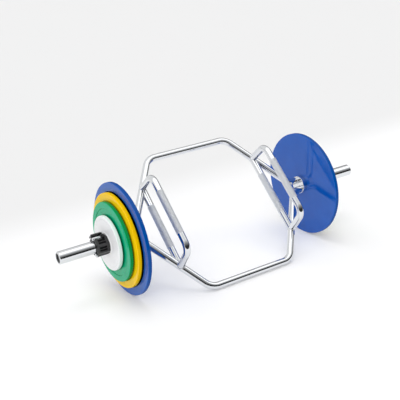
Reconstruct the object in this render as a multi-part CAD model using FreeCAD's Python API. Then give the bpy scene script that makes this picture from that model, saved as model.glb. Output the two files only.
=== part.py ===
import FreeCAD, Part
import math
import os

Vector = FreeCAD.Vector

# A loaded hex trap bar. Sizes are in millimetres, angles in degrees.
# X runs along the sleeves, Y to the rear and Z up.
# The origin is on the floor, under the middle of the bar.

# Hexagon of two bent tubes, measured square to its own plane
tube_diameter = 30.0
tube_wall = 4.0
frame_depth = 605.0  # front tube to rear tube, between centrelines
frame_front_length = 383.6  # between the two bend points of the front tube
frame_vertex_span = 792.6  # left to right, where the side runs of both tubes would meet
frame_bend_radius = 60.0
frame_end_bend_radius = 40.0
frame_end_spacing = 44.0  # between the two tube ends on one stop flange
frame_end_straight = 18.9  # straight run from the last bend to the stop flange

# Handles
handle_diameter = 29.0
handle_wall = 3.0
handle_spacing = 548.4  # between the left and right grips
raised_handle_height = 123.5  # raised grip above the plane of the frame
raised_handle_lean = 12.5  # how far each leg leans in from foot to grip
raised_handle_bend_radius = 40.0
weld_gap = 0.3  # left between a coped end and the tube that it is welded to

# Stop flanges, sleeves and sleeve caps
flange_diameter = 76.0
flange_thickness = 18.0
flange_edge = 1.5
flange_floor = 4.0  # closed inboard end that the frame tubes are welded to
sleeve_diameter = 50.0
sleeve_wall = 6.0
sleeve_length = 290.0  # from the inboard face of the stop flange to the free end
sleeve_edge = 2.0
sleeve_fit = 0.05  # all round, in the stop flange
groove_width = 1.2  # turned ring that marks the free end of the sleeve
groove_depth = 0.5
groove_margin = 1.0  # from the outermost point of the collar
cap_length = 16.0
cap_recess = 3.0
cap_fit = 0.1
cap_dish_diameter = 28.0
cap_dish_depth = 2.0

# Discs, from the stop flange outwards
blue_disc_diameter = 450.0
blue_disc_thickness = 20.5
blue_disc_rim = 34.0
blue_disc_recess = 0.0  # rim behind hub, inboard
blue_disc_setback = 4.3  # rim behind hub, outboard
blue_disc_web_drop = 6.0  # web behind rim, outboard
yellow_disc_diameter = 378.0
yellow_disc_thickness = 17.2
yellow_disc_rim = 30.0
yellow_disc_recess = 1.0
yellow_disc_setback = 0.8
yellow_disc_web_drop = 6.0
green_disc_diameter = 316.0
green_disc_thickness = 17.5
green_disc_rim = 48.0
green_disc_recess = 2.0
green_disc_setback = 0.8
green_disc_web_drop = 6.0
white_disc_diameter = 216.0
white_disc_thickness = 18.0
white_disc_rim = 12.0
white_disc_recess = 1.5
white_disc_setback = 0.8
white_disc_web_drop = 1.2
disc_bore_fit = 0.3  # radial, round the sleeve
disc_gap = 0.3  # between the hub faces of neighbours
disc_hub_diameter = 84.0
disc_step_width = 2.0  # sloping step between two levels of a face
disc_edge_radius = 3.0
disc_edge_flats = 3  # short flats that round each edge of the rim

# Clamp collars
collar_sides = 8
collar_width = 74.0  # across the flats
collar_length = 50.5
collar_edge = 1.5
collar_gap = 0.3  # from the outermost disc
pad_thickness = 3.0
pad_clearance = 0.3  # round the sleeve
pad_bond = 0.1  # behind the pad
pad_inset = 1.0  # from each end of the collar
pad_margin_angle = 16.0  # from each split between the jaws
split_half_angle = 1.8  # half of the slit between the jaws
top_split_angle = 88.5
hinge_angle = 230.0
hinge_offset = 33.0  # hinge pin from the axis of the sleeve
knuckle_diameter = 11.0
knuckle_share = 0.34  # of the collar's length that the middle knuckle takes
turning_gap = 0.4  # round whatever turns on a pin
side_gap = 0.3  # beside whatever turns on a pin
pin_diameter = 5.0
pin_fit = 0.05  # radial
pin_head_diameter = 14.0
pin_head_thickness = 5.5
pocket_depth = 6.0
pocket_start = 12.0
pocket_length = 30.0
pocket_height = 8.0
pocket_rib = 2.5
lever_pin_forward = 8.0  # lever pin in front of the sleeve's axis
lever_pin_height = 36.0  # lever pin above the sleeve's axis
lever_lug_diameter = 11.0
lever_lug_start = 7.0  # from the inboard end of the collar
lever_lug_width = 4.0
lever_pin_head_diameter = 14.0
lever_hub_diameter = 10.0
lever_hub_length = 9.7
lever_standoff = 5.0  # above the flat of the collar
lever_thickness = 4.0
lever_tail_share = 0.75  # of the rear upper flat that the lever covers
lever_arm_clearance = 1.0  # in front of the catch lip
thumb_bar_width = 44.7
thumb_bar_height = 8.0
thumb_bar_thickness = 5.0
window_reach = 22.0  # slot in the front jaw that the lever turns into
window_depth = 6.0  # floor of that slot below the lever pin
lip_setback = 1.5  # catch lip behind the split
lip_thickness = 4.0
lip_height = 4.0
hook_clearance = 2.5
hook_thickness = 4.0
hook_gap = 1.0  # hook above the flat of the collar

overrun = 2.0  # how far a cutting shape passes the face that it cuts

# Places worked out from the sizes
tube_radius = tube_diameter / 2
handle_radius = handle_diameter / 2
sleeve_radius = sleeve_diameter / 2
pin_radius = pin_diameter / 2
half_depth = frame_depth / 2
half_front = frame_front_length / 2
half_vertex = frame_vertex_span / 2
end_offset = frame_end_spacing / 2
side_slope = (half_vertex - half_front) / half_depth
end_bend_x = half_vertex - end_offset * side_slope
end_turn = math.atan2(1.0, side_slope)
flange_x = end_bend_x + frame_end_bend_radius * math.tan(end_turn / 2) + frame_end_straight
sleeve_end_x = flange_x + sleeve_length
handle_x = handle_spacing / 2
foot_y = (half_vertex - handle_x) / side_slope
discs = [
    ("blue_disc", blue_disc_diameter, blue_disc_thickness,
     blue_disc_rim, blue_disc_recess, blue_disc_setback, blue_disc_web_drop),
    ("yellow_disc", yellow_disc_diameter, yellow_disc_thickness,
     yellow_disc_rim, yellow_disc_recess, yellow_disc_setback, yellow_disc_web_drop),
    ("green_disc", green_disc_diameter, green_disc_thickness,
     green_disc_rim, green_disc_recess, green_disc_setback, green_disc_web_drop),
    ("white_disc", white_disc_diameter, white_disc_thickness,
     white_disc_rim, white_disc_recess, white_disc_setback, white_disc_web_drop),
]
axis_height = max(diameter for name, diameter, *rest in discs) / 2
# The frame leans until its front tube rests on the floor, or hangs plumb if it is too short to.
tilt = math.degrees(math.asin(min(1.0, (axis_height - tube_radius) / half_depth)))
disc_x = flange_x + flange_thickness + disc_gap
stack_length = sum(thickness + disc_gap for name, diameter, thickness, *rest in discs)
collar_x = disc_x + stack_length - disc_gap + collar_gap
collar_flat = collar_width / 2
collar_turn = 2 * math.pi / collar_sides  # from one flat to the next
jaw_bore = sleeve_radius + pad_clearance + pad_thickness + pad_bond
lever_hub_start = lever_lug_start + lever_lug_width + side_gap
lever_hub_end = lever_hub_start + lever_hub_length
second_lug_start = lever_hub_end + side_gap
second_lug_end = second_lug_start + lever_lug_width
lever_end = lever_hub_start + thumb_bar_width
hinge_pin_end = collar_length + side_gap + pin_head_thickness
collar_end = max(lever_end, hinge_pin_end)
groove_x = collar_x + collar_end + groove_margin


# Shapes that several pieces share
def bent_path(points, radii):
    # straight runs joined by tangent arcs
    edges = []
    start = points[0]
    for index, radius in enumerate(radii, 1):
        corner = points[index]
        back = Vector(points[index - 1] - corner).normalize()
        ahead = Vector(points[index + 1] - corner).normalize()
        half_angle = back.getAngle(ahead) / 2
        tangent = radius / math.tan(half_angle)
        inward = Vector(back + ahead).normalize()
        middle = corner + inward * (radius / math.sin(half_angle) - radius)
        entry = corner + back * tangent
        leave = corner + ahead * tangent
        edges.append(Part.LineSegment(start, entry).toShape())
        edges.append(Part.Arc(entry, middle, leave).toShape())
        start = leave
    edges.append(Part.LineSegment(start, points[-1]).toShape())
    return Part.Wire(edges)


def round_bar(path, radius):
    first = path.Edges[0]
    begin = first.FirstParameter
    circle = Part.makeCircle(radius, first.valueAt(begin), first.tangentAt(begin))
    return path.makePipeShell([Part.Wire(circle)], True, True)


def round_tube(path, radius, wall):
    return round_bar(path, radius).cut(round_bar(path, radius - wall))


def rod(y, z, radius, start, length):
    return Part.makeCylinder(radius, length, Vector(start, y, z), Vector(1, 0, 0))


def block(start, length, low_y, high_y, low_z, high_z):
    return Part.makeBox(length, high_y - low_y, high_z - low_z, Vector(start, low_y, low_z))


def prism(points, start, length):
    corners = [Vector(start, y, z) for y, z in points]
    outline = Part.makePolygon(corners + corners[:1])
    return Part.Face(outline).extrude(Vector(length, 0, 0))


def turned(points):
    # points are (place along X, radius) of a half section
    corners = [Vector(x, 0, radius) for x, radius in points]
    outline = Part.makePolygon(corners + corners[:1])
    return Part.Face(outline).revolve(Vector(0, 0, 0), Vector(1, 0, 0), 360)


def ring_sector(inner, outer, start, length, from_angle, to_angle):
    # angles run from the rear, over the top, to the front
    section = [(start, inner), (start + length, inner), (start + length, outer), (start, outer)]
    angle = math.radians(from_angle)
    corners = [Vector(x, r * math.cos(angle), r * math.sin(angle)) for x, r in section]
    face = Part.Face(Part.makePolygon(corners + corners[:1]))
    return face.revolve(Vector(0, 0, 0), Vector(1, 0, 0), to_angle - from_angle)


def rim_edges(shape, radius):
    # circular edges of that radius
    found = []
    for edge in shape.Edges:
        if isinstance(edge.Curve, Part.Circle) and math.isclose(edge.Curve.Radius, radius):
            found.append(edge)
    return found


# Placing and writing
def lean(shape):
    # from the plane of the frame to how the bar stands
    placed = shape.copy()
    placed.rotate(Vector(0, 0, 0), Vector(1, 0, 0), tilt)
    placed.translate(Vector(0, 0, axis_height))
    return placed


def on_sleeve(shape, x):
    placed = shape.copy()
    placed.translate(Vector(x, 0, axis_height))
    return placed


def save(name, shape):
    shape.exportStep("parts/" + name + ".step")
    print(name, len(shape.Solids), round(shape.Volume), shape.isValid())


def save_pair(name, shape):
    save("right_" + name, shape)
    save("left_" + name, shape.mirror(Vector(0, 0, 0), Vector(1, 0, 0)))


# Frame tubes
def frame_path(side):
    # side is -1 for the front tube and 1 for the rear one
    outline = [
        (-flange_x, end_offset),
        (-end_bend_x, end_offset),
        (-half_front, half_depth),
        (half_front, half_depth),
        (end_bend_x, end_offset),
        (flange_x, end_offset),
    ]
    radii = [frame_end_bend_radius, frame_bend_radius, frame_bend_radius, frame_end_bend_radius]
    return bent_path([Vector(x, side * y, 0) for x, y in outline], radii)


def frame_tubes():
    for name, side in (("front_frame_tube", -1), ("rear_frame_tube", 1)):
        save(name, lean(round_tube(frame_path(side), tube_radius, tube_wall)))


# Handles, coped to the tubes that carry them
def frame_cope():
    # space that the frame tubes and their welds take
    front = round_bar(frame_path(-1), tube_radius + weld_gap)
    return front.fuse(round_bar(frame_path(1), tube_radius + weld_gap))


def low_handle_path():
    return Part.Wire(Part.makeLine(Vector(handle_x, -foot_y, 0), Vector(handle_x, foot_y, 0)))


def raised_handle_path():
    top_y = foot_y - raised_handle_lean
    outline = [
        (-foot_y, 0),
        (-top_y, raised_handle_height),
        (top_y, raised_handle_height),
        (foot_y, 0),
    ]
    radii = [raised_handle_bend_radius, raised_handle_bend_radius]
    return bent_path([Vector(handle_x, y, z) for y, z in outline], radii)


def handles():
    cope = frame_cope()
    low = round_tube(low_handle_path(), handle_radius, handle_wall).cut(cope)
    save_pair("low_handle", lean(low))
    cope = cope.fuse(round_bar(low_handle_path(), handle_radius + weld_gap))
    raised = round_tube(raised_handle_path(), handle_radius, handle_wall).cut(cope)
    save_pair("raised_handle", lean(raised))


# Stop flanges, sleeves and caps
def stop_flange():
    inner = sleeve_radius + sleeve_fit
    outer = flange_diameter / 2
    cup = rod(0, 0, outer, 0, flange_thickness).cut(rod(0, 0, inner, flange_floor, flange_thickness))
    return cup.makeFillet(flange_edge, rim_edges(cup, outer))


def sleeve():
    bore = sleeve_radius - sleeve_wall
    step = sleeve_edge / 2
    seat = flange_floor + sleeve_fit
    tube = turned([
        (seat, bore),
        (sleeve_length - step, bore),
        (sleeve_length, bore + step),
        (sleeve_length, sleeve_radius - sleeve_edge),
        (sleeve_length - sleeve_edge, sleeve_radius),
        (seat, sleeve_radius),
    ])
    floor = sleeve_radius - groove_depth
    begin = groove_x - flange_x
    top = sleeve_radius + overrun
    end = begin + groove_width
    return tube.cut(turned([(begin, floor), (end, floor), (end, top), (begin, top)]))


def sleeve_cap():
    radius = sleeve_radius - sleeve_wall - cap_fit
    plug = rod(0, 0, radius, 0, cap_length)
    return plug.cut(rod(0, 0, cap_dish_diameter / 2, cap_length - cap_dish_depth, cap_dish_depth))


def sleeves():
    save_pair("stop_flange", on_sleeve(stop_flange(), flange_x))
    save_pair("sleeve", on_sleeve(sleeve(), flange_x))
    save_pair("sleeve_cap", on_sleeve(sleeve_cap(), sleeve_end_x - cap_recess - cap_length))


# Discs with a hub that stands out beyond the rim, and a sunk web on the outboard face
def eased_rim(back, front, outer):
    # outline of a rim whose two edges are rounded by short flats
    turn = math.pi / 2 / disc_edge_flats
    angles = [turn * step for step in range(disc_edge_flats + 1)]
    corner = []
    for angle in angles:
        x = disc_edge_radius * (1 - math.cos(angle))
        corner.append((x, outer - disc_edge_radius * (1 - math.sin(angle))))
    return [(back + x, r) for x, r in corner] + [(front - x, r) for x, r in reversed(corner)]


def disc(diameter, thickness, rim, recess, setback, web_drop):
    outer = diameter / 2
    inner = sleeve_radius + disc_bore_fit
    hub = disc_hub_diameter / 2
    rim_inner = outer - rim
    rim_face = thickness - setback
    web_face = rim_face - web_drop
    outline = [(0, inner)]
    if recess:
        outline = outline + [(0, hub), (recess, hub + disc_step_width)]
    outline = outline + eased_rim(recess, rim_face, outer)
    outline = outline + [
        (rim_face, rim_inner),
        (web_face, rim_inner - disc_step_width),
        (web_face, hub + disc_step_width),
        (thickness, hub),
        (thickness, inner),
    ]
    return turned(outline)


def disc_stack():
    x = disc_x
    for name, diameter, thickness, *rest in discs:
        save_pair(name, on_sleeve(disc(diameter, thickness, *rest), x))
        x = x + thickness + disc_gap


# Clamp collar, with its inboard end at X = 0 and the sleeve's axis as its own
hinge_y = hinge_offset * math.cos(math.radians(hinge_angle))
hinge_z = hinge_offset * math.sin(math.radians(hinge_angle))
lever_y = -lever_pin_forward
lever_z = lever_pin_height
knuckle_radius = knuckle_diameter / 2
knuckle_length = collar_length * knuckle_share
knuckle_start = (collar_length - knuckle_length) / 2
knuckle_end = knuckle_start + knuckle_length


def collar_block():
    corner = collar_flat / math.cos(collar_turn / 2)
    angles = [collar_turn * side + collar_turn / 2 for side in range(collar_sides)]
    points = [(corner * math.cos(angle), corner * math.sin(angle)) for angle in angles]
    body = prism(points, 0, collar_length)
    ends = [edge for edge in body.Edges if edge.BoundBox.XLength < edge.Length / 2]
    return body.makeChamfer(collar_edge, ends)


def jaw(from_angle, to_angle):
    inside = ring_sector(jaw_bore, collar_width, 0, collar_length, from_angle, to_angle)
    return collar_block().common(inside)


def pockets(flat):
    # two sunk panels with a rib between them, on one flat, counted from the rear over the top
    low = pocket_rib / 2
    high = low + pocket_height
    face = collar_flat - pocket_depth
    out = collar_flat + overrun
    pair = block(pocket_start, pocket_length, face, out, low, high)
    pair = pair.fuse(block(pocket_start, pocket_length, face, out, -high, -low))
    pair.rotate(Vector(0, 0, 0), Vector(1, 0, 0), math.degrees(flat * collar_turn))
    return pair


def pin_hole(y, z):
    return rod(y, z, pin_radius + pin_fit, -overrun, collar_length + 2 * overrun)


def lip_front():
    split = math.radians(top_split_angle - split_half_angle)
    return collar_flat / math.tan(split) + lip_setback


def main_jaw():
    # rear jaw: one middle knuckle, and the lip that the hook holds
    body = jaw(hinge_angle + split_half_angle, 360 + top_split_angle - split_half_angle)
    for flat in (0, collar_sides - 2, collar_sides - 1):
        body = body.cut(pockets(flat))
    space = knuckle_radius + turning_gap
    body = body.cut(rod(hinge_y, hinge_z, space, -overrun, knuckle_start + overrun))
    body = body.cut(rod(hinge_y, hinge_z, space, knuckle_end, collar_length))
    width = knuckle_length - 2 * side_gap
    body = body.fuse(rod(hinge_y, hinge_z, knuckle_radius, knuckle_start + side_gap, width))
    lip_y = lip_front()
    top = collar_flat + lip_height
    length = lever_hub_length - 2 * side_gap
    lip = block(lever_hub_start + side_gap, length, lip_y, lip_y + lip_thickness, lever_z, top)
    return body.fuse(lip).cut(pin_hole(hinge_y, hinge_z)).removeSplitter()


def swing_jaw():
    # front jaw: two outer knuckles, two lugs for the lever pin and the slot that the lever turns into
    body = jaw(top_split_angle + split_half_angle, hinge_angle - split_half_angle)
    for flat in (collar_sides // 2 - 1, collar_sides // 2):
        body = body.cut(pockets(flat))
    space = knuckle_radius + turning_gap
    body = body.cut(rod(hinge_y, hinge_z, space, knuckle_start, knuckle_length))
    for start, end in ((0, knuckle_start - side_gap), (knuckle_end + side_gap, collar_length)):
        body = body.fuse(rod(hinge_y, hinge_z, knuckle_radius, start, end - start))
    lug = lever_lug_diameter / 2
    for start in (lever_lug_start, second_lug_start):
        body = body.fuse(rod(lever_y, lever_z, lug, start, lever_lug_width))
    head_space = lever_pin_head_diameter / 2 + turning_gap
    body = body.cut(rod(lever_y, lever_z, head_space, second_lug_end, collar_length))
    length = lever_hub_length + 2 * side_gap
    start = lever_hub_start - side_gap
    body = body.cut(rod(lever_y, lever_z, lever_hub_diameter / 2 + turning_gap, start, length))
    front = lever_y - window_reach
    floor = lever_z - window_depth
    body = body.cut(block(start, length, front, lever_y, floor, collar_width))
    return body.cut(pin_hole(hinge_y, hinge_z)).cut(pin_hole(lever_y, lever_z)).removeSplitter()


def lever():
    # hub, arm, hook and a plate that follows the collar to the rear, with an upright thumb bar in front
    under = collar_flat + lever_standoff
    over = under + lever_thickness
    low = collar_flat + hook_gap
    front = lip_front() - lever_arm_clearance
    corner_y = under * math.tan(collar_turn / 2)
    tail_length = 2 * corner_y * lever_tail_share
    tail_y = corner_y + tail_length * math.cos(collar_turn)
    tail_z = under - tail_length * math.sin(collar_turn)
    plate = prism([
        (front, under),
        (corner_y, under),
        (tail_y, tail_z),
        (tail_y + lever_thickness * math.sin(collar_turn), tail_z + lever_thickness * math.cos(collar_turn)),
        (over * math.tan(collar_turn / 2), over),
        (front, over),
    ], lever_hub_start, collar_length - lever_hub_start)
    width = lever_hub_length
    hub = rod(lever_y, lever_z, lever_hub_diameter / 2, lever_hub_start, width)
    arm = block(lever_hub_start, width, lever_y, front, low, over)
    hook_y = lip_front() + lip_thickness + hook_clearance
    hook = block(lever_hub_start, width, hook_y, hook_y + hook_thickness, low, over)
    bar_end = front + thumb_bar_thickness
    bar = block(lever_hub_start, thumb_bar_width, front, bar_end, under, under + thumb_bar_height)
    bar_foot = block(second_lug_start, lever_end - second_lug_start, front, bar_end, low, over)
    body = plate.fuse([hub, arm, hook, bar, bar_foot])
    return body.cut(pin_hole(lever_y, lever_z)).removeSplitter()


def headed_pin(y, z, start, head_start, head_end, head_diameter):
    shank = rod(y, z, pin_radius, start, head_end - start)
    return shank.fuse(rod(y, z, head_diameter / 2, head_start, head_end - head_start))


def hinge_pin():
    return headed_pin(hinge_y, hinge_z, side_gap, collar_length + side_gap, hinge_pin_end, pin_head_diameter)


def lever_pin():
    head_start = second_lug_end + side_gap
    return headed_pin(lever_y, lever_z, lever_lug_start, head_start, lever_end, lever_pin_head_diameter)


def pad(from_angle, to_angle):
    inner = sleeve_radius + pad_clearance
    outer = inner + pad_thickness
    length = collar_length - 2 * pad_inset
    start = from_angle + pad_margin_angle
    return ring_sector(inner, outer, pad_inset, length, start, to_angle - pad_margin_angle)


def collars():
    pieces = {
        "collar_main_jaw": main_jaw(),
        "collar_swing_jaw": swing_jaw(),
        "collar_lever": lever(),
        "collar_hinge_pin": hinge_pin(),
        "collar_lever_pin": lever_pin(),
        "collar_main_pad": pad(hinge_angle, 360 + top_split_angle),
        "collar_swing_pad": pad(top_split_angle, hinge_angle),
    }
    for name, shape in pieces.items():
        save_pair(name, on_sleeve(shape, collar_x))


os.makedirs("parts", exist_ok=True)
frame_tubes()
handles()
sleeves()
disc_stack()
collars()
print("tilt", round(tilt, 3), "axis height", axis_height, "flange", round(flange_x, 3))
print("sleeve end", round(sleeve_end_x, 3), "collar", round(collar_x, 3), "groove", round(groove_x, 3))
print("hinge", round(hinge_y, 3), round(hinge_z, 3), "foot", round(foot_y, 3))
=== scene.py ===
import math
import bmesh
import bpy
from mathutils import Matrix, Vector


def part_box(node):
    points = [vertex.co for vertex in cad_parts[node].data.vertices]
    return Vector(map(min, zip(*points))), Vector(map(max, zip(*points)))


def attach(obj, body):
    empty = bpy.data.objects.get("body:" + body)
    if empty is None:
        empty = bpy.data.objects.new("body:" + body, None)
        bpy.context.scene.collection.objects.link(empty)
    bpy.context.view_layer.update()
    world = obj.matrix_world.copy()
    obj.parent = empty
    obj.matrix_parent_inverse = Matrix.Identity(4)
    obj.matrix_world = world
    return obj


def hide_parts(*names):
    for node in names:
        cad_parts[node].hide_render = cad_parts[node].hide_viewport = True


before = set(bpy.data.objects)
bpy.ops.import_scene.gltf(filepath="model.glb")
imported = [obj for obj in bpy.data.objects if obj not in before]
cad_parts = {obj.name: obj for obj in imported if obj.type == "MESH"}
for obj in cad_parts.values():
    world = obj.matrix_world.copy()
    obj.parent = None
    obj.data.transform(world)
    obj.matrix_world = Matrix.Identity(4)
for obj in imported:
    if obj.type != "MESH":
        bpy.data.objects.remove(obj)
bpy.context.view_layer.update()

mm = 0.001
sides = (("left", -1), ("right", 1))
mixA, mixB, mixOut = 6, 7, 2  # colour sockets of a Mix node

# Places that the solids give
axisHeight = sum(corner[2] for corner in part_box("left_blue_disc")) / 2
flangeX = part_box("right_stop_flange")[0][0]
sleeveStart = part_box("right_sleeve")[0][0]
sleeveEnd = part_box("right_sleeve")[1][0]
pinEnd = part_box("right_collar_hinge_pin")[1][0]


# Shared helpers
def hexToLinear(text):
    channels = [int(text[i:i + 2], 16) / 255 for i in (0, 2, 4)]
    return tuple(c / 12.92 if c <= 0.04045 else ((c + 0.055) / 1.055) ** 2.4 for c in channels) + (1.0,)


def addNode(tree, kind, links, **settings):
    node = tree.nodes.new(kind)
    for name, value in settings.items():
        setattr(node, name, value)
    for socket, value in links.items():
        if isinstance(value, bpy.types.NodeSocket):
            tree.links.new(value, node.inputs[socket])
        else:
            node.inputs[socket].default_value = value
    return node


def startMaterial(name):
    material = bpy.data.materials.new(name)
    material.use_nodes = True
    return material, material.node_tree, material.node_tree.nodes["Principled BSDF"]


def startTree(name, inputs):
    # a geometry tree whose inputs are (name, socket kind) pairs
    tree = bpy.data.node_groups.new(name, "GeometryNodeTree")
    tree.interface.new_socket("Geometry", in_out="INPUT", socket_type="NodeSocketGeometry")
    for label, kind in inputs:
        tree.interface.new_socket(label, in_out="INPUT", socket_type=kind)
    tree.interface.new_socket("Geometry", in_out="OUTPUT", socket_type="NodeSocketGeometry")
    return tree, addNode(tree, "NodeGroupInput", {}).outputs


def endTree(tree, geometry, finish):
    real = addNode(tree, "GeometryNodeRealizeInstances", {"Geometry": geometry})
    coated = addNode(tree, "GeometryNodeSetMaterial", {"Geometry": real.outputs[0], "Material": finish})
    addNode(tree, "NodeGroupOutput", {"Geometry": coated.outputs[0]})


def growMesh(source, tree, values):
    # runs a tree on a source object and gives back the mesh that it makes
    modifier = source.modifiers.new("grow", "NODES")
    modifier.node_group = tree
    for item in tree.interface.items_tree:
        if item.in_out == "INPUT" and item.name in values:
            modifier[item.identifier] = values[item.name]
    bpy.context.scene.collection.objects.link(source)
    evaluated = source.evaluated_get(bpy.context.evaluated_depsgraph_get())
    mesh = bpy.data.meshes.new_from_object(evaluated)
    bpy.data.objects.remove(source)
    return mesh


def joinMeshes(name, meshes, material):
    built = bmesh.new()
    for mesh in meshes:
        built.from_mesh(mesh)
        bpy.data.meshes.remove(mesh)
    for face in built.faces:
        face.material_index = 0
    joined = bpy.data.meshes.new(name)
    built.to_mesh(joined)
    built.free()
    return placePiece(name, joined, material)


def placePiece(name, mesh, material):
    mesh.materials.clear()
    mesh.materials.append(material)
    piece = bpy.data.objects.new(name, mesh)
    bpy.context.scene.collection.objects.link(piece)
    return piece


def dress(piece, body, slot, *nodes):
    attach(piece, body)
    if nodes:
        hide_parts(*nodes)


# Materials
chrome = {
    "tubeTones": ("dcdee1", "e6e8ea"),
    # painted sheen: the knurl's tones are painted paler than the tube's
    "knurlSheenTones": ("e5e7ea", "edeff1"),  # the teeth scatter light, so the bands look paler than the tube
    "hazeSize": 9 * mm,
    "hazeLimits": (0.35, 0.7),  # of the haze, from the smoother to the rougher patches
    "waveStrength": 0.6,
}


def polishedChrome(name, tones, low, high, waveSize, waveDepth):
    # chrome plating on polished steel: a cool mirror, with the slow waves of drawn tube
    # and faint buffing haze
    material, tree, shader = startMaterial(name)
    place = addNode(tree, "ShaderNodeTexCoord", {}).outputs["Object"]
    waves = addNode(tree, "ShaderNodeTexNoise", {"Vector": place, "Scale": 1 / waveSize, "Detail": 1.0})
    haze = addNode(tree, "ShaderNodeTexNoise", {
        "Vector": place, "Scale": 1 / chrome["hazeSize"], "Detail": 4.0})
    gloss = addNode(tree, "ShaderNodeMapRange", {
        "Value": haze.outputs["Fac"],
        "From Min": chrome["hazeLimits"][0], "From Max": chrome["hazeLimits"][1],
        "To Min": low, "To Max": high})
    deep, pale = tones
    tint = addNode(tree, "ShaderNodeMix", {
        "Factor": haze.outputs["Fac"], mixA: hexToLinear(deep), mixB: hexToLinear(pale)}, data_type="RGBA")
    relief = addNode(tree, "ShaderNodeBump", {
        "Height": waves.outputs["Fac"], "Strength": chrome["waveStrength"], "Distance": waveDepth})
    tree.links.new(tint.outputs[mixOut], shader.inputs["Base Color"])
    tree.links.new(gloss.outputs[0], shader.inputs["Roughness"])
    tree.links.new(relief.outputs[0], shader.inputs["Normal"])
    shader.inputs["Metallic"].default_value = 1.0
    return material


enamel = {
    "cloudSize": 60 * mm,
    "speckSize": 1.2 * mm,
    "toneLimits": (0.15, 0.4),  # of cloud times speck, from the deep tone to the pale one
    "rimLimits": (0.8, 0.3),  # of the normal's part along the sleeve, from the face to the rim
    "rimCoat": 0.35,  # share of the face's lacquer
    "coatIor": 1.45,
    "roughness": (0.3, 0.45),  # of the colour under the lacquer
    "peelSize": 5 * mm,
    "peelDepth": 0.01 * mm,
    "peelStrength": 0.25,
    # painted shade: near black for the blue disc's sunk web, standing in for the shade in the gap under the
    # yellow disc
    "webShadeTone": "0c0c0e",
    "webRadius": 191 * mm,  # inner edge of the blue rim
}


def discEnamel(name, deep, pale, rimShadeTone, coat, coatRoughness, paintedShadeInside=0):
    # stove enamel under clear lacquer: an even strong colour, a sharp gloss and a trace of orange peel;
    # the rim is flatter, and its colour is painted deeper as painted shade for the lesser light that it gets
    material, tree, shader = startMaterial(name)
    coords = addNode(tree, "ShaderNodeTexCoord", {}).outputs
    place = coords["Object"]
    facing = addNode(tree, "ShaderNodeSeparateXYZ", {"Vector": coords["Normal"]}).outputs["X"]
    across = addNode(tree, "ShaderNodeMath", {0: facing}, operation="ABSOLUTE")
    rim = addNode(tree, "ShaderNodeMapRange", {
        "Value": across.outputs[0], "From Min": enamel["rimLimits"][0], "From Max": enamel["rimLimits"][1]})
    cloud = addNode(tree, "ShaderNodeTexNoise", {
        "Vector": place, "Scale": 1 / enamel["cloudSize"], "Detail": 3.0})
    speck = addNode(tree, "ShaderNodeTexNoise", {
        "Vector": place, "Scale": 1 / enamel["speckSize"], "Detail": 2.0})
    peel = addNode(tree, "ShaderNodeTexNoise", {
        "Vector": place, "Scale": 1 / enamel["peelSize"], "Detail": 1.0})
    blend = addNode(tree, "ShaderNodeMath", {
        0: cloud.outputs["Fac"], 1: speck.outputs["Fac"]}, operation="MULTIPLY")
    tone = addNode(tree, "ShaderNodeMapRange", {
        "Value": blend.outputs[0], "From Min": enamel["toneLimits"][0], "From Max": enamel["toneLimits"][1]})
    tint = addNode(tree, "ShaderNodeMix", {
        "Factor": tone.outputs[0], mixA: hexToLinear(deep), mixB: hexToLinear(pale)}, data_type="RGBA")
    # painted shade: where the surface faces sideways, on the rim, the colour turns to a deeper tone
    tint = addNode(tree, "ShaderNodeMix", {
        "Factor": rim.outputs[0], mixA: tint.outputs[mixOut], mixB: hexToLinear(rimShadeTone)}, data_type="RGBA")
    if paintedShadeInside:
        # painted shade: the sunk web of the outboard face is painted near black, standing in for the shade
        # in the gap under the next disc
        flat = addNode(tree, "ShaderNodeVectorMath", {0: place, 1: (0, 1, 1)}, operation="MULTIPLY")
        radius = addNode(tree, "ShaderNodeVectorMath", {
            0: flat.outputs[0], 1: (0, 0, axisHeight)}, operation="DISTANCE")
        inside = addNode(tree, "ShaderNodeMath", {
            0: radius.outputs["Value"], 1: paintedShadeInside}, operation="LESS_THAN")
        side = addNode(tree, "ShaderNodeSeparateXYZ", {"Vector": place}).outputs["X"]
        outward = addNode(tree, "ShaderNodeMath", {0: facing, 1: side}, operation="MULTIPLY")
        outboard = addNode(tree, "ShaderNodeMath", {0: outward.outputs[0], 1: 0.0}, operation="GREATER_THAN")
        sunk = addNode(tree, "ShaderNodeMath", {
            0: inside.outputs[0], 1: outboard.outputs[0]}, operation="MULTIPLY")
        tint = addNode(tree, "ShaderNodeMix", {
            "Factor": sunk.outputs[0], mixA: tint.outputs[mixOut],
            mixB: hexToLinear(enamel["webShadeTone"])}, data_type="RGBA")
    gloss = addNode(tree, "ShaderNodeMapRange", {
        "Value": rim.outputs[0], "To Min": coat, "To Max": enamel["rimCoat"] * coat})
    rough = addNode(tree, "ShaderNodeMapRange", {
        "Value": cloud.outputs["Fac"], "To Min": enamel["roughness"][0], "To Max": enamel["roughness"][1]})
    relief = addNode(tree, "ShaderNodeBump", {
        "Height": peel.outputs["Fac"], "Strength": enamel["peelStrength"], "Distance": enamel["peelDepth"]})
    tree.links.new(tint.outputs[mixOut], shader.inputs["Base Color"])
    tree.links.new(rough.outputs[0], shader.inputs["Roughness"])
    tree.links.new(relief.outputs[0], shader.inputs["Normal"])
    tree.links.new(relief.outputs[0], shader.inputs["Coat Normal"])
    tree.links.new(gloss.outputs[0], shader.inputs["Coat Weight"])
    shader.inputs["Specular IOR Level"].default_value = 0.0
    shader.inputs["Coat IOR"].default_value = enamel["coatIor"]
    shader.inputs["Coat Roughness"].default_value = coatRoughness
    return material


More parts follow.
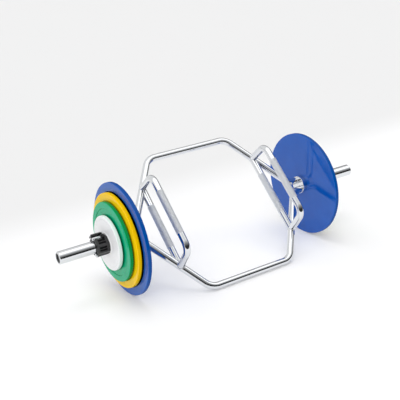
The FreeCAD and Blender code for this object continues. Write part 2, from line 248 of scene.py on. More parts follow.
moulding = {
    "cloudSize": 14 * mm,
    "grainStrength": 0.4,
    # painted shade: pocketReach, pocketSamples, openLimits and sheen set how far the specular level is
    # turned down in pockets
    "pocketReach": 9 * mm,
    "pocketSamples": 8,
    "openLimits": (0.6, 0.95),  # of the openness, from a pocket to an open face
    "sheen": (0.06, 0.6),  # specular level in a pocket and on an open face
}


def mouldedBlack(name, dark, light, grain, low, high, depth):
    # black moulding: near black, with the fine grain of the tool and a soft sheen that varies a little
    material, tree, shader = startMaterial(name)
    place = addNode(tree, "ShaderNodeTexCoord", {}).outputs["Object"]
    fine = addNode(tree, "ShaderNodeTexNoise", {"Vector": place, "Scale": 1 / grain, "Detail": 3.0})
    wide = addNode(tree, "ShaderNodeTexNoise", {
        "Vector": place, "Scale": 1 / moulding["cloudSize"], "Detail": 3.0})
    tint = addNode(tree, "ShaderNodeMix", {
        "Factor": wide.outputs["Fac"], mixA: hexToLinear(dark), mixB: hexToLinear(light)}, data_type="RGBA")
    rough = addNode(tree, "ShaderNodeMapRange", {
        "Value": wide.outputs["Fac"], "To Min": low, "To Max": high})
    relief = addNode(tree, "ShaderNodeBump", {
        "Height": fine.outputs["Fac"], "Strength": moulding["grainStrength"], "Distance": depth})
    # painted shade: an occlusion mask turns the specular level down in pockets and corners, standing in for
    # the shade there
    pocketShadeAO = addNode(tree, "ShaderNodeAmbientOcclusion", {
        "Distance": moulding["pocketReach"]}, samples=moulding["pocketSamples"], only_local=True)
    sheen = addNode(tree, "ShaderNodeMapRange", {
        "Value": pocketShadeAO.outputs["AO"],
        "From Min": moulding["openLimits"][0], "From Max": moulding["openLimits"][1],
        "To Min": moulding["sheen"][0], "To Max": moulding["sheen"][1]})
    tree.links.new(tint.outputs[mixOut], shader.inputs["Base Color"])
    tree.links.new(sheen.outputs[0], shader.inputs["Specular IOR Level"])
    tree.links.new(rough.outputs[0], shader.inputs["Roughness"])
    tree.links.new(relief.outputs[0], shader.inputs["Normal"])
    return material


pinFinish = {
    "tones": ("c2c5c8", "dcdee0"),
    "ringPitch": 0.4 * mm,
    "ringsAcross": 60.0,  # per metre round and across the pin, so that the noise reads as rings
    "roughness": (0.16, 0.34),
}


def turnedSteel(name):
    # zinc-plated turned steel: grey metal with fine rings round the pin
    material, tree, shader = startMaterial(name)
    place = addNode(tree, "ShaderNodeTexCoord", {}).outputs["Object"]
    across = pinFinish["ringsAcross"]
    stretch = addNode(tree, "ShaderNodeMapping", {
        "Vector": place, "Scale": (1 / pinFinish["ringPitch"], across, across)})
    rings = addNode(tree, "ShaderNodeTexNoise", {"Vector": stretch.outputs[0], "Scale": 1.0, "Detail": 2.0})
    deep, pale = pinFinish["tones"]
    tint = addNode(tree, "ShaderNodeMix", {
        "Factor": rings.outputs["Fac"], mixA: hexToLinear(deep), mixB: hexToLinear(pale)}, data_type="RGBA")
    rough = addNode(tree, "ShaderNodeMapRange", {
        "Value": rings.outputs["Fac"],
        "To Min": pinFinish["roughness"][0], "To Max": pinFinish["roughness"][1]})
    tree.links.new(tint.outputs[mixOut], shader.inputs["Base Color"])
    tree.links.new(rough.outputs[0], shader.inputs["Roughness"])
    shader.inputs["Metallic"].default_value = 1.0
    return material


tubeChrome = polishedChrome(
    "chromed_polished_tube", chrome["tubeTones"], low=0.04, high=0.09, waveSize=70 * mm, waveDepth=0.05 * mm)
sleeveChrome = polishedChrome(
    "chromed_turned_sleeve", chrome["tubeTones"], low=0.03, high=0.07, waveSize=90 * mm, waveDepth=0.02 * mm)
gripChrome = polishedChrome(
    "chromed_rolled_knurl", chrome["knurlSheenTones"], low=0.48, high=0.58, waveSize=12 * mm, waveDepth=0.02 * mm)
discPaint = {
    "blue": discEnamel(
        "blue_gloss_enamel", "0654b2", "0c5cbc", "004a98", coat=1.0, coatRoughness=0.035,
        paintedShadeInside=enamel["webRadius"]),
    "yellow": discEnamel(
        "yellow_gloss_enamel", "f6c600", "fcce00", "f4c400", coat=0.6, coatRoughness=0.06),
    "green": discEnamel(
        "green_gloss_enamel", "00a676", "06b080", "008c4a", coat=0.7, coatRoughness=0.06),
    "white": discEnamel(
        "white_gloss_enamel", "eff0f2", "f5f5f6", "f2f4f4", coat=0.8, coatRoughness=0.08),
}
jawNylon = mouldedBlack(
    "black_glass_filled_nylon", "141416", "232325", grain=0.7 * mm, low=0.3, high=0.45, depth=0.05 * mm)
leverNylon = mouldedBlack(
    "black_polished_nylon", "070708", "101012", grain=0.9 * mm, low=0.22, high=0.34, depth=0.03 * mm)
padRubber = mouldedBlack(
    "black_moulded_rubber", "101010", "1c1b1a", grain=0.5 * mm, low=0.6, high=0.8, depth=0.08 * mm)
capPlastic = mouldedBlack(
    "black_moulded_plug", "0c0c0d", "19191a", grain=0.6 * mm, low=0.35, high=0.5, depth=0.04 * mm)
pinSteel = turnedSteel("zinc_plated_turned_steel")
print("materials ready")

# Hexagon of bent tubes
hexagon = {
    "tubeRadius": 15 * mm,
    "depth": 605 * mm,  # front tube to rear tube, between centrelines
    "frontLength": 383.6 * mm,
    "vertexSpan": 792.6 * mm,
    "endSpacing": 44 * mm,
    "bendRadius": 60 * mm,
    "endBendRadius": 40 * mm,
    "tubeSides": 64,
    "bendSteps": 20,
}
tilt = math.asin((axisHeight - hexagon["tubeRadius"]) * 2 / hexagon["depth"])
alongFrame = Vector((0, math.cos(tilt), math.sin(tilt)))
offFrame = Vector((0, -math.sin(tilt), math.cos(tilt)))
sideSlope = (hexagon["vertexSpan"] - hexagon["frontLength"]) / hexagon["depth"]


def onFrame(x, along, off=0.0):
    return Vector((x, 0, axisHeight)) + alongFrame * along + offFrame * off


def pathSource(points, bends, closed=False):
    # corner points, each with its bend radius
    curve = bpy.data.curves.new("path", "CURVE")
    curve.dimensions = "3D"
    spline = curve.splines.new("POLY")
    spline.points.add(len(points) - 1)
    for corner, point, bend in zip(spline.points, points, bends):
        corner.co = (*point, 1)
        corner.radius = bend
    spline.use_cyclic_u = closed
    return bpy.data.objects.new("path", curve)


tubeTree, tubeIn = startTree("tubeAlongPath", [
    ("Tube Radius", "NodeSocketFloat"), ("Tube Sides", "NodeSocketInt"),
    ("Bend Steps", "NodeSocketInt"), ("Finish", "NodeSocketMaterial")])
bendSize = addNode(tubeTree, "GeometryNodeInputRadius", {})
rounded = addNode(tubeTree, "GeometryNodeFilletCurve", {
    "Curve": tubeIn["Geometry"], "Count": tubeIn["Bend Steps"], "Radius": bendSize.outputs[0]}, mode="POLY")
section = addNode(tubeTree, "GeometryNodeCurvePrimitiveCircle", {
    "Resolution": tubeIn["Tube Sides"], "Radius": tubeIn["Tube Radius"]})
swept = addNode(tubeTree, "GeometryNodeCurveToMesh", {
    "Curve": rounded.outputs[0], "Profile Curve": section.outputs[0], "Fill Caps": True})
endTree(tubeTree, swept.outputs[0], tubeIn["Finish"])


def bentTube(points, bends, radius, material):
    mesh = growMesh(pathSource(points, bends), tubeTree, {
        "Tube Radius": radius, "Tube Sides": hexagon["tubeSides"],
        "Bend Steps": hexagon["bendSteps"], "Finish": material})
    for face in mesh.polygons:
        face.use_smooth = len(face.vertices) == 4  # the end caps stay flat
    return mesh


endOffset = hexagon["endSpacing"] / 2
endBendX = hexagon["vertexSpan"] / 2 - endOffset * sideSlope
for name, side in (("front_frame_tube", -1), ("rear_frame_tube", 1)):
    outline = [
        (-flangeX, endOffset), (-endBendX, endOffset),
        (-hexagon["frontLength"] / 2, hexagon["depth"] / 2),
        (hexagon["frontLength"] / 2, hexagon["depth"] / 2),
        (endBendX, endOffset), (flangeX, endOffset)]
    half = [0, hexagon["endBendRadius"], hexagon["bendRadius"]]
    bends = half + half[::-1]
    mesh = bentTube([onFrame(x, side * y) for x, y in outline], bends, hexagon["tubeRadius"], tubeChrome)
    dress(placePiece(name.replace("frame", "chrome"), mesh, tubeChrome), "frame", "chrome", name)
print("hexagon built")

# Handles
grip = {
    "radius": 14.5 * mm,
    "spacing": 548.4 * mm,  # between the left and right grips
    "raisedHeight": 123.5 * mm,  # above the plane of the frame
    "lean": 12.5 * mm,  # how far each leg of a raised handle leans in
    "bendRadius": 40 * mm,
    "knurlLength": 190 * mm,
    "knurlColumns": 44,  # coarser than the real knurl, so that it shows
    "knurlHeight": 0.36 * mm,
    "toothTip": 0.25 * mm,
    "bandRise": 0.1 * mm,  # of the plain band under the teeth, above the tube
}
gripX = grip["spacing"] / 2
footReach = (hexagon["vertexSpan"] / 2 - gripX) / sideSlope

knurlTree, knurlIn = startTree("diamondKnurl", [
    ("Grip Radius", "NodeSocketFloat"), ("Knurl Length", "NodeSocketFloat"), ("Columns", "NodeSocketInt"),
    ("Rows", "NodeSocketInt"), ("Tooth Height", "NodeSocketFloat"), ("Tooth Reach", "NodeSocketFloat"),
    ("Centre", "NodeSocketVector"), ("Along", "NodeSocketVector"), ("Across", "NodeSocketVector"),
    ("Rise", "NodeSocketVector"), ("Finish", "NodeSocketMaterial")])
cells = addNode(knurlTree, "GeometryNodeMeshGrid", {
    "Size X": knurlIn["Knurl Length"], "Size Y": 1.0,
    "Vertices X": knurlIn["Rows"], "Vertices Y": knurlIn["Columns"]})
cellPlace = addNode(knurlTree, "GeometryNodeInputPosition", {})
cellPart = addNode(knurlTree, "ShaderNodeSeparateXYZ", {"Vector": cellPlace.outputs[0]})
cellIndex = addNode(knurlTree, "GeometryNodeInputIndex", {})
rowNumber = addNode(knurlTree, "ShaderNodeMath", {
    0: cellIndex.outputs[0], 1: knurlIn["Columns"]}, operation="DIVIDE")
rowWhole = addNode(knurlTree, "ShaderNodeMath", {0: rowNumber.outputs[0]}, operation="FLOOR")
oddRow = addNode(knurlTree, "ShaderNodeMath", {0: rowWhole.outputs[0], 1: 2.0}, operation="MODULO")
columnInRow = addNode(knurlTree, "ShaderNodeMath", {
    0: cellIndex.outputs[0], 1: knurlIn["Columns"]}, operation="MODULO")
columnShift = addNode(knurlTree, "ShaderNodeMath", {
    0: oddRow.outputs[0], 1: 0.5, 2: columnInRow.outputs[0]}, operation="MULTIPLY_ADD")
turnShare = addNode(knurlTree, "ShaderNodeMath", {
    0: columnShift.outputs[0], 1: knurlIn["Columns"]}, operation="DIVIDE")
turnAngle = addNode(knurlTree, "ShaderNodeMath", {
    0: turnShare.outputs[0], 1: math.tau}, operation="MULTIPLY")
turnCos = addNode(knurlTree, "ShaderNodeMath", {0: turnAngle.outputs[0]}, operation="COSINE")
turnSin = addNode(knurlTree, "ShaderNodeMath", {0: turnAngle.outputs[0]}, operation="SINE")
acrossPart = addNode(knurlTree, "ShaderNodeVectorMath", {
    0: knurlIn["Across"], "Scale": turnCos.outputs[0]}, operation="SCALE")
risePart = addNode(knurlTree, "ShaderNodeVectorMath", {
    0: knurlIn["Rise"], "Scale": turnSin.outputs[0]}, operation="SCALE")
outward = addNode(knurlTree, "ShaderNodeVectorMath", {
    0: acrossPart.outputs[0], 1: risePart.outputs[0]}, operation="ADD")
toothSeat = addNode(knurlTree, "ShaderNodeVectorMath", {
    0: outward.outputs[0], "Scale": knurlIn["Grip Radius"]}, operation="SCALE")
alongPart = addNode(knurlTree, "ShaderNodeVectorMath", {
    0: knurlIn["Along"], "Scale": cellPart.outputs[0]}, operation="SCALE")
fromCentre = addNode(knurlTree, "ShaderNodeVectorMath", {
    0: toothSeat.outputs[0], 1: alongPart.outputs[0]}, operation="ADD")
toothPlace = addNode(knurlTree, "ShaderNodeVectorMath", {
    0: fromCentre.outputs[0], 1: knurlIn["Centre"]}, operation="ADD")
toothTurn = addNode(knurlTree, "FunctionNodeAxesToRotation", {
    "Primary Axis": outward.outputs[0], "Secondary Axis": knurlIn["Along"]},
    primary_axis="Z", secondary_axis="X")
turnKept = addNode(knurlTree, "GeometryNodeStoreNamedAttribute", {
    "Geometry": cells.outputs[0], "Name": "toothTurn", "Value": toothTurn.outputs[0]},
    data_type="QUATERNION")
wrapped = addNode(knurlTree, "GeometryNodeSetPosition", {
    "Geometry": turnKept.outputs[0], "Position": toothPlace.outputs[0]})
turnRead = addNode(knurlTree, "GeometryNodeInputNamedAttribute", {
    "Name": "toothTurn"}, data_type="QUATERNION")
tooth = addNode(knurlTree, "GeometryNodeMeshCone", {
    "Vertices": 4, "Radius Bottom": knurlIn["Tooth Reach"], "Radius Top": grip["toothTip"],
    "Depth": knurlIn["Tooth Height"]})
teeth = addNode(knurlTree, "GeometryNodeInstanceOnPoints", {
    "Points": wrapped.outputs[0], "Instance": tooth.outputs["Mesh"], "Rotation": turnRead.outputs[0]})
endTree(knurlTree, teeth.outputs[0], knurlIn["Finish"])


def knurlBand(name, centre):
    # diamond teeth in staggered rows over a plain band
    step = math.tau * grip["radius"] / grip["knurlColumns"]
    rows = round(grip["knurlLength"] / (step / 2)) + 1
    source = bpy.data.objects.new("cells", bpy.data.meshes.new("cells"))
    teeth = growMesh(source, knurlTree, {
        "Grip Radius": grip["radius"], "Knurl Length": grip["knurlLength"], "Columns": grip["knurlColumns"],
        "Rows": rows, "Tooth Height": grip["knurlHeight"], "Tooth Reach": step / 2, "Centre": centre,
        "Along": alongFrame, "Across": Vector((1, 0, 0)), "Rise": offFrame, "Finish": gripChrome})
    half = alongFrame * (grip["knurlLength"] / 2 + step / 2)
    band = bentTube([centre - half, centre + half], [0, 0], grip["radius"] + grip["bandRise"], gripChrome)
    piece = joinMeshes(name, [teeth, band], gripChrome)
    dress(piece, "frame", "knurled_chrome")


for side, sign in sides:
    feet = [onFrame(sign * gripX, -footReach), onFrame(sign * gripX, footReach)]
    mesh = bentTube(feet, [0, 0], grip["radius"], tubeChrome)
    dress(placePiece(side + "_low_grip", mesh, tubeChrome), "frame", "chrome", side + "_low_handle")
    topReach = footReach - grip["lean"]
    tops = [onFrame(sign * gripX, reach, grip["raisedHeight"]) for reach in (-topReach, topReach)]
    bends = [0, grip["bendRadius"], grip["bendRadius"], 0]
    mesh = bentTube([feet[0], *tops, feet[1]], bends, grip["radius"], tubeChrome)
    dress(placePiece(side + "_raised_grip", mesh, tubeChrome), "frame", "chrome", side + "_raised_handle")
    knurlBand(side + "_low_knurl", onFrame(sign * gripX, 0))
    knurlBand(side + "_raised_knurl", onFrame(sign * gripX, 0, grip["raisedHeight"]))
print("handles built")

# Weld beads
weld = {
    "beadRadius": 1.7 * mm,
    "ripple": 0.22,  # share of the bead's radius
    "rippleSize": 3.2 * mm,
    "stepLength": 0.8 * mm,
    "points": 120,
    "sides": 10,
}
beadTree, beadIn = startTree("weldBead", [
    ("Bead Radius", "NodeSocketFloat"), ("Ripple", "NodeSocketFloat"), ("Ripple Size", "NodeSocketFloat"),
    ("Bead Sides", "NodeSocketInt"), ("Finish", "NodeSocketMaterial")])
beadLength = addNode(beadTree, "GeometryNodeSplineParameter", {})
ripplePhase = addNode(beadTree, "ShaderNodeMath", {
    0: beadLength.outputs["Length"], 1: beadIn["Ripple Size"]}, operation="DIVIDE")
rippleAngle = addNode(beadTree, "ShaderNodeMath", {
    0: ripplePhase.outputs[0], 1: math.tau}, operation="MULTIPLY")
rippleWave = addNode(beadTree, "ShaderNodeMath", {0: rippleAngle.outputs[0]}, operation="SINE")
rippleScale = addNode(beadTree, "ShaderNodeMath", {
    0: rippleWave.outputs[0], 1: beadIn["Ripple"], 2: 1.0}, operation="MULTIPLY_ADD")
finer = addNode(beadTree, "GeometryNodeResampleCurve", {
    "Curve": beadIn["Geometry"], "Length": weld["stepLength"]}, mode="LENGTH")
beadSection = addNode(beadTree, "GeometryNodeCurvePrimitiveCircle", {
    "Resolution": beadIn["Bead Sides"], "Radius": beadIn["Bead Radius"]})
beadBody = addNode(beadTree, "GeometryNodeCurveToMesh", {
    "Curve": finer.outputs[0], "Profile Curve": beadSection.outputs[0], "Scale": rippleScale.outputs[0]})
endTree(beadTree, beadBody.outputs[0], beadIn["Finish"])


def beadAlong(points):
    return growMesh(pathSource(points, [0] * len(points), closed=True), beadTree, {
        "Bead Radius": weld["beadRadius"], "Ripple": weld["ripple"], "Ripple Size": weld["rippleSize"],
        "Bead Sides": weld["sides"], "Finish": tubeChrome})


def copeLoop(foot, leg, across, rise, run):
    # where a handle's leg meets the tube that it stands on
    points = []
    for step in range(weld["points"]):
        angle = math.tau * step / weld["points"]
        start = (across * math.cos(angle) + rise * math.sin(angle)) * grip["radius"]
        startOff = start - run * start.dot(run)
        legOff = leg - run * leg.dot(run)
        half = startOff.dot(legOff)
        reach = startOff.length_squared - hexagon["tubeRadius"] ** 2
        travel = (-half + math.sqrt(half * half - legOff.length_squared * reach)) / legOff.length_squared
        points.append(foot + start + leg * travel)
    return points


def ringLoop(centre, radius):
    angles = [math.tau * step / weld["points"] for step in range(weld["points"])]
    return [centre + Vector((0, math.cos(a), math.sin(a))) * radius for a in angles]


beads = []
across = Vector((1, 0, 0))
for side, sign in sides:
    for end in (-1, 1):
        foot = onFrame(sign * gripX, end * footReach)
        run = (onFrame(sign * hexagon["frontLength"] / 2, end * hexagon["depth"] / 2) - foot).normalized()
        beads.append(beadAlong(copeLoop(foot, alongFrame * -end, across, offFrame, run)))
        top = onFrame(sign * gripX, end * (footReach - grip["lean"]), grip["raisedHeight"])
        leg = (top - foot).normalized()
        beads.append(beadAlong(copeLoop(foot, leg, across, leg.cross(across), run)))
        beads.append(beadAlong(ringLoop(onFrame(sign * flangeX, end * endOffset), hexagon["tubeRadius"])))
beadPiece = joinMeshes("weld_beads", beads, tubeChrome)
for face in beadPiece.data.polygons:
    face.use_smooth = True
dress(beadPiece, "frame", "chrome")
print("welds built")

# Turned pieces: stop flanges, sleeves, caps and discs
turning = {
    "segments": 192,
    "edgeSteps": 5,
    "straightTurn": 0.01,  # radians, below which a corner needs no arc
    "mergeReach": 0.001 * mm,
    "flatWeight": 100,  # how far the large faces lead the shading of their edges
}


def roundedOutline(corners, steps):
    # corners are (x, radius, rounding); each is replaced by a small arc
    points = []
    for index, (x, radius, rounding) in enumerate(corners):
        here = Vector((x, radius))
        back = Vector(corners[index - 1][:2]) - here
        ahead = Vector(corners[(index + 1) % len(corners)][:2]) - here
        turn = math.pi - back.angle(ahead)
        if not rounding or turn < turning["straightTurn"]:
            points.append(here)
            continue
        reach = rounding * math.tan(turn / 2)
        inward = (back.normalized() + ahead.normalized()).normalized()
        centre = here + inward * (rounding / math.cos(turn / 2))
        start = here + back.normalized() * reach - centre
        end = here + ahead.normalized() * reach - centre
        sweep = start.angle_signed(end)
        for step in range(steps + 1):
            points.append(centre + Matrix.Rotation(-sweep * step / steps, 2) @ start)
    return points


def turnPiece(name, corners, sign, material, segments=turning["segments"]):
    # turned about the sleeve's axis
    outline = roundedOutline(corners, turning["edgeSteps"])
    shape = bmesh.new()
    rings = []
    for step in range(segments):
        angle = math.tau * step / segments
        rings.append([
            shape.verts.new((sign * p.x, p.y * math.cos(angle), axisHeight + p.y * math.sin(angle)))
            for p in outline])
    for step, ring in enumerate(rings):
        after = rings[(step + 1) % segments]
        for index in range(len(outline)):
            ahead = (index + 1) % len(outline)
            face = shape.faces.new((ring[index], ring[ahead], after[ahead], after[index]))
            face.smooth = True
    bmesh.ops.remove_doubles(shape, verts=shape.verts, dist=turning["mergeReach"])
    bmesh.ops.recalc_face_normals(shape, faces=shape.faces)
    mesh = bpy.data.meshes.new(name)
    shape.to_mesh(mesh)
    shape.free()
    piece = placePiece(name, mesh, material)
    flatten = piece.modifiers.new("flat faces", "WEIGHTED_NORMAL")
    flatten.keep_sharp = True
    flatten.weight = turning["flatWeight"]
    return piece


sleeve = {
    "radius": 25 * mm,
    "bore": 19 * mm,
    "edge": 2 * mm,
    "seatRounding": 0.5 * mm,
    "endRounding": 0.6 * mm,
    "boreRounding": 0.4 * mm,
    "grooveWidth": 1.2 * mm,
    "grooveDepth": 0.5 * mm,
    "grooveLip": 0.15 * mm,
    "grooveRoot": 0.1 * mm,
    "grooveMargin": 1 * mm,  # beyond the collar's hinge pin
    "flangeRadius": 38 * mm,
    "flangeEdge": 1.5 * mm,
    "capRadius": 18.9 * mm,
    "capEdge": 0.8 * mm,
    "capSoft": 0.5 * mm,  # rounding of its other corners
    "capDish": 14 * mm,
    "capDishDepth": 2 * mm,
    "capDishSlope": 1 * mm,
}


def sleevePieces(side, sign):
    low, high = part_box("right_stop_flange")
    outer = sleeve["flangeRadius"]
    inner = sleeve["radius"]
    edge = sleeve["flangeEdge"]
    flange = turnPiece(side + "_chrome_flange", [
        (low[0], 0, 0), (low[0], outer, edge), (high[0], outer, edge), (high[0], inner, 0),
        (sleeveStart, inner, 0), (sleeveStart, 0, 0)], sign, tubeChrome)
    dress(flange, "frame", "chrome", side + "_stop_flange")
    start = pinEnd + sleeve["grooveMargin"]
    floor = inner - sleeve["grooveDepth"]
    tube = turnPiece(side + "_chrome_sleeve", [
        (sleeveStart, sleeve["bore"], 0),
        (sleeveStart, inner, sleeve["seatRounding"]),
        (start, inner, sleeve["grooveLip"]),
        (start, floor, sleeve["grooveRoot"]),
        (start + sleeve["grooveWidth"], floor, sleeve["grooveRoot"]),
        (start + sleeve["grooveWidth"], inner, sleeve["grooveLip"]),
        (sleeveEnd - sleeve["edge"], inner, sleeve["endRounding"]),
        (sleeveEnd, inner - sleeve["edge"], sleeve["endRounding"]),
        (sleeveEnd, sleeve["bore"] + sleeve["edge"] / 2, sleeve["boreRounding"]),
        (sleeveEnd - sleeve["edge"] / 2, sleeve["bore"], sleeve["boreRounding"]),
    ], sign, sleeveChrome)
    dress(tube, "frame", "chrome", side + "_sleeve")
    low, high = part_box("right_sleeve_cap")
    dish = sleeve["capDish"]
    depth = high[0] - sleeve["capDishDepth"]
    soft = sleeve["capSoft"]
    plug = turnPiece(side + "_end_plug", [
        (low[0], 0, 0),
        (low[0], sleeve["capRadius"], soft),
        (high[0], sleeve["capRadius"], sleeve["capEdge"]),
        (high[0], dish + sleeve["capDishSlope"], soft),
        (depth, dish, soft),
        (depth, 0, 0),
    ], sign, capPlastic)
    dress(plug, "frame", "black_plastic", side + "_sleeve_cap")


disc = {
    "rims": {"blue": 34 * mm, "yellow": 30 * mm, "green": 48 * mm, "white": 12 * mm},
    # rim behind hub, inboard and then outboard
    "recesses": {"blue": 0, "yellow": 1 * mm, "green": 2 * mm, "white": 1.5 * mm},
    "setbacks": {"blue": 4.3 * mm, "yellow": 0.8 * mm, "green": 0.8 * mm, "white": 0.8 * mm},
    "bore": 25.3 * mm,
    "boreRounding": 0.6 * mm,
    "hub": 42 * mm,
    "webDrops": {"blue": 6 * mm, "yellow": 6 * mm, "green": 6 * mm, "white": 1.2 * mm},
    "lands": {"green": 24 * mm},  # outer ring of a face, a little higher than the rest of the rim
    "landDrop": 3 * mm,
    "step": 2 * mm,
    "edge": 3 * mm,
    "soft": 1.2 * mm,  # rounding of the steps
    "segments": 256,
}


def discPiece(side, sign, colour):
    node = side + "_" + colour + "_disc"
    low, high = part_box("right_" + colour + "_disc")
    outer = (high[2] - low[2]) / 2
    back, front = low[0], high[0]
    rimBack = back + disc["recesses"][colour]
    rimFace = front - disc["setbacks"][colour]
    webFace = rimFace - disc["webDrops"][colour]
    rimInner = outer - disc["rims"][colour]
    soft = disc["soft"]
    lowFace = rimFace
    landSteps = []
    if colour in disc["lands"]:
        landInner = outer - disc["lands"][colour]
        lowFace = rimFace - disc["landDrop"]
        landSteps = [(rimFace, landInner, soft), (lowFace, landInner - disc["step"], soft)]
    piece = turnPiece(side + "_" + colour + "_enamel_disc", [
        (back, disc["bore"], disc["boreRounding"]),
        (back, disc["hub"], 0),
        (rimBack, disc["hub"] + disc["step"], 0),
        (rimBack, outer, disc["edge"]),
        (rimFace, outer, disc["edge"]),
        *landSteps,
        (lowFace, rimInner, soft),
        (webFace, rimInner - disc["step"], soft),
        (webFace, disc["hub"] + disc["step"], soft),
        (front, disc["hub"], soft),
        (front, disc["bore"], disc["boreRounding"]),
    ], sign, discPaint[colour], segments=disc["segments"])
    dress(piece, node, colour + "_paint", node)


for side, sign in sides:
    sleevePieces(side, sign)
    for colour in discPaint:
        discPiece(side, sign, colour)
print("sleeves and discs built")

# Clamp collars
collar = {
    "jawEdge": 0.6 * mm,
    "leverEdge": 0.9 * mm,
    "pinEdge": 0.35 * mm,
    "edgeSteps": 3,
    "creaseAngle": math.radians(28),
    "mergeReach": 0.002 * mm,
    "flatAngle": math.radians(0.5),  # faces that turn less are one flat face
}


def easedCopy(node, name, edge, material):
    # a copy of the solid's mesh with its sharp edges eased
    shape = bmesh.new()
    shape.from_mesh(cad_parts[node].data)
    bmesh.ops.remove_doubles(shape, verts=shape.verts, dist=collar["mergeReach"])
    bmesh.ops.dissolve_limit(shape, angle_limit=collar["flatAngle"], verts=shape.verts, edges=shape.edges)
    for face in shape.faces:
        face.smooth = True
    mesh = bpy.data.meshes.new(name)
    shape.to_mesh(mesh)
    shape.free()
    piece = placePiece(name, mesh, material)
    bevel = piece.modifiers.new("eased edges", "BEVEL")
    bevel.width = edge
    bevel.segments = collar["edgeSteps"]
    bevel.limit_method = "ANGLE"
    bevel.angle_limit = collar["creaseAngle"]
    bevel.harden_normals = True
    return piece


for side, _ in sides:
    for node, body, edge, material, slot in (
            ("main_jaw", "_collar", collar["jawEdge"], jawNylon, "black_plastic"),
            ("hinge_pin", "_collar", collar["pinEdge"], pinSteel, "pin_steel"),
            ("swing_jaw", "_collar_front", collar["jawEdge"], jawNylon, "black_plastic"),
            ("lever_pin", "_collar_front", collar["pinEdge"], pinSteel, "pin_steel"),
            ("lever", "_collar_lever", collar["leverEdge"], leverNylon, "black_plastic")):
        source = side + "_collar_" + node
        piece = easedCopy(source, source.replace("_collar_", "_clamp_"), edge, material)
        dress(piece, side + body, slot, source)
    for pad in ("main_pad", "swing_pad"):
        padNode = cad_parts[side + "_collar_" + pad]
        padNode.data.materials.clear()
        padNode.data.materials.append(padRubber)
print("collars built")

# Studio: a pale floor under an even sky and soft suns, with an overhead lamp and a dark hall in front
# that only gloss shows
studio = {
    "floorSize": 40.0,
    "nearPaper": "f2f2f3",
    "farShadedPaper": "dcdcdc",
    "paperShadeFade": (0.5, 1.2),  # how far behind the bar the paper grows darker
    "paperRoughness": 0.9,
    "paperGlow": 0.12,
    "glowTone": "fdfdfe",
    "sky": 0.75,
    "skyTone": "fefefe",
    "darkSide": 0.18,  # the sky low down on the right
    "sideFade": (0.0, 0.6),  # of the way to the right
    "lowFade": (0.7, 0.35),  # of the way up
    "backdrop": 0.88,  # the sky as the camera and the metal see it
    "topSize": (8.0, 2.5),
    "topPlace": (0, -0.28, 3.6),
    "topPower": 38.0,
    "keyStrength": 0.55,
    "keyFrom": (0, 0, 1.0),
    "keySpread": math.radians(32),
    "fillStrength": 0.8,
    "fillFrom": (-0.55, -0.7, 0.55),
    "fillSpread": math.radians(50),
    "rearStrength": 0.4,
    "rearFrom": (-0.1, 0.75, 0.7),
    "rearSpread": math.radians(50),
    "hallDistance": 1.5,
    "hallSize": (8.0, 3.6),
    "hallFade": (0.6, 3.6),  # heights between which the hall grows brighter
    "hallBrightness": (0.03, 1.25),
    "hallTone": "fafbfc",
}


def cardMesh(name, width, height, upright):
    shape = bmesh.new()
    bmesh.ops.create_grid(shape, x_segments=1, y_segments=1, size=0.5)
    bmesh.ops.scale(shape, vec=(width, height, 1), verts=shape.verts)
    if upright:
        bmesh.ops.rotate(shape, matrix=Matrix.Rotation(math.radians(90), 3, "X"), verts=shape.verts)
    mesh = bpy.data.meshes.new(name)
    shape.to_mesh(mesh)
    shape.free()
    return mesh


floorPaint, tree, shader = startMaterial("pale_matt_floor_paper")
floorPlace = addNode(tree, "ShaderNodeTexCoord", {}).outputs["Object"]
floorPart = addNode(tree, "ShaderNodeSeparateXYZ", {"Vector": floorPlace})
# painted shade: the paper is painted darker further behind the bar, standing in for the light falling off
paperShadeFade = addNode(tree, "ShaderNodeMapRange", {
    "Value": floorPart.outputs["Y"], "From Min": studio["paperShadeFade"][0], "From Max": studio["paperShadeFade"][1]},
    interpolation_type="SMOOTHSTEP")
paperTone = addNode(tree, "ShaderNodeMix", {
    "Factor": paperShadeFade.outputs[0], mixA: hexToLinear(studio["nearPaper"]),
    mixB: hexToLinear(studio["farShadedPaper"])}, data_type="RGBA")
tree.links.new(paperTone.outputs[mixOut], shader.inputs["Base Color"])
shader.inputs["Roughness"].default_value = studio["paperRoughness"]
shader.inputs["Specular IOR Level"].default_value = 0.0
# the paper shows a little paler than it is lit, and casts none of that on the bar
raySort = addNode(tree, "ShaderNodeLightPath", {}).outputs
seenRay = addNode(tree, "ShaderNodeMath", {
    0: raySort["Is Camera Ray"], 1: raySort["Is Glossy Ray"]}, operation="MAXIMUM")
paperGlow = addNode(tree, "ShaderNodeMath", {
    0: seenRay.outputs[0], 1: studio["paperGlow"]}, operation="MULTIPLY")
shader.inputs["Emission Color"].default_value = hexToLinear(studio["glowTone"])
tree.links.new(paperGlow.outputs[0], shader.inputs["Emission Strength"])
floorMesh = cardMesh("floor", studio["floorSize"], studio["floorSize"], False)
floor = placePiece("floor", floorMesh, floorPaint)

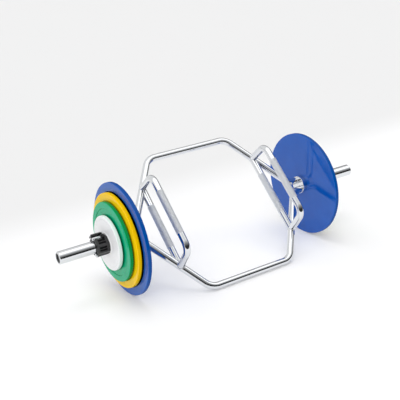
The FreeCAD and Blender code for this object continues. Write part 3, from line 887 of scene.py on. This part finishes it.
hallCloth = bpy.data.materials.new("dark_studio_cloth")
hallCloth.use_nodes = True
tree = hallCloth.node_tree
tree.nodes.clear()
hallPlace = addNode(tree, "ShaderNodeTexCoord", {}).outputs["Object"]
hallPart = addNode(tree, "ShaderNodeSeparateXYZ", {"Vector": hallPlace})
hallGlow = addNode(tree, "ShaderNodeMapRange", {
    "Value": hallPart.outputs["Z"], "From Min": studio["hallFade"][0], "From Max": studio["hallFade"][1],
    "To Min": studio["hallBrightness"][0], "To Max": studio["hallBrightness"][1]})
dim = addNode(tree, "ShaderNodeEmission", {
    "Color": hexToLinear(studio["hallTone"]), "Strength": hallGlow.outputs[0]})
addNode(tree, "ShaderNodeOutputMaterial", {"Surface": dim.outputs[0]})
hallMesh = cardMesh("dark_hall", *studio["hallSize"], True)
hallMesh.transform(Matrix.Translation((0, -studio["hallDistance"], studio["hallSize"][1] / 2)))
hall = placePiece("dark_hall", hallMesh, hallCloth)
hall.visible_camera = False
hall.visible_diffuse = False
hall.visible_shadow = False


def addSun(name, strength, spread, comesFrom):
    # broad soft light that the chrome does not mirror
    lamp = bpy.data.objects.new(name, bpy.data.lights.new(name, "SUN"))
    lamp.data.energy = strength
    lamp.data.angle = spread
    lamp.matrix_world = Vector(comesFrom).to_track_quat("Z", "Y").to_matrix().to_4x4()
    lamp.visible_glossy = False
    bpy.context.scene.collection.objects.link(lamp)


addSun("key", studio["keyStrength"], studio["keySpread"], studio["keyFrom"])
addSun("fill", studio["fillStrength"], studio["fillSpread"], studio["fillFrom"])
addSun("rear", studio["rearStrength"], studio["rearSpread"], studio["rearFrom"])
top = bpy.data.objects.new("top", bpy.data.lights.new("top", "AREA"))
top.data.shape = "RECTANGLE"
top.data.size, top.data.size_y = studio["topSize"]
top.data.energy = studio["topPower"]
top.location = studio["topPlace"]
top.visible_diffuse = False
bpy.context.scene.collection.objects.link(top)

world = bpy.data.worlds.new("studio")
bpy.context.scene.world = world
world.use_nodes = True
tree = world.node_tree
background = tree.nodes["Background"]
background.inputs["Color"].default_value = hexToLinear(studio["skyTone"])
skyWay = addNode(tree, "ShaderNodeTexCoord", {}).outputs["Generated"]
skyPart = addNode(tree, "ShaderNodeSeparateXYZ", {"Vector": skyWay})
rightward = addNode(tree, "ShaderNodeMapRange", {
    "Value": skyPart.outputs["X"], "From Min": studio["sideFade"][0], "From Max": studio["sideFade"][1]},
    interpolation_type="SMOOTHSTEP")
lowDown = addNode(tree, "ShaderNodeMapRange", {
    "Value": skyPart.outputs["Z"], "From Min": studio["lowFade"][0], "From Max": studio["lowFade"][1]},
    interpolation_type="SMOOTHSTEP")
shaded = addNode(tree, "ShaderNodeMath", {
    0: rightward.outputs[0], 1: lowDown.outputs[0]}, operation="MULTIPLY")
skyRay = addNode(tree, "ShaderNodeLightPath", {}).outputs
mirrored = addNode(tree, "ShaderNodeMath", {
    0: skyRay["Is Glossy Ray"], 1: skyRay["Is Transmission Ray"]}, operation="MAXIMUM")
openSky = addNode(tree, "ShaderNodeMix", {
    "Factor": mirrored.outputs[0], "A": studio["sky"], "B": studio["backdrop"]})
skyLevel = addNode(tree, "ShaderNodeMapRange", {
    "Value": shaded.outputs[0], "To Min": openSky.outputs[0], "To Max": studio["darkSide"]})
skySeen = addNode(tree, "ShaderNodeMix", {
    "Factor": skyRay["Is Camera Ray"], "A": skyLevel.outputs[0], "B": studio["backdrop"]})
tree.links.new(skySeen.outputs[0], background.inputs["Strength"])

# Camera at the photograph's place
view = {
    "place": (-1.54511, -2.43775, 1.37406),
    "yaw": math.radians(30.915),
    "pitch": math.radians(20.908),
    "roll": -0.076,
    "lens": 67.74,
}
forward = Vector((
    math.sin(view["yaw"]) * math.cos(view["pitch"]), math.cos(view["yaw"]) * math.cos(view["pitch"]),
    -math.sin(view["pitch"])))
level = Vector((math.cos(view["yaw"]), -math.sin(view["yaw"]), 0))
upright = level.cross(forward)
right = level * math.cos(view["roll"]) + upright * math.sin(view["roll"])
above = upright * math.cos(view["roll"]) - level * math.sin(view["roll"])
camera = bpy.data.objects.new("camera", bpy.data.cameras.new("camera"))
camera.data.lens = view["lens"]
facing = Matrix((right, above, -forward)).transposed().to_4x4()
camera.matrix_world = Matrix.Translation(view["place"]) @ facing
bpy.context.scene.collection.objects.link(camera)
bpy.context.scene.camera = camera
bpy.context.scene.view_settings.view_transform = "Standard"
print("studio ready")
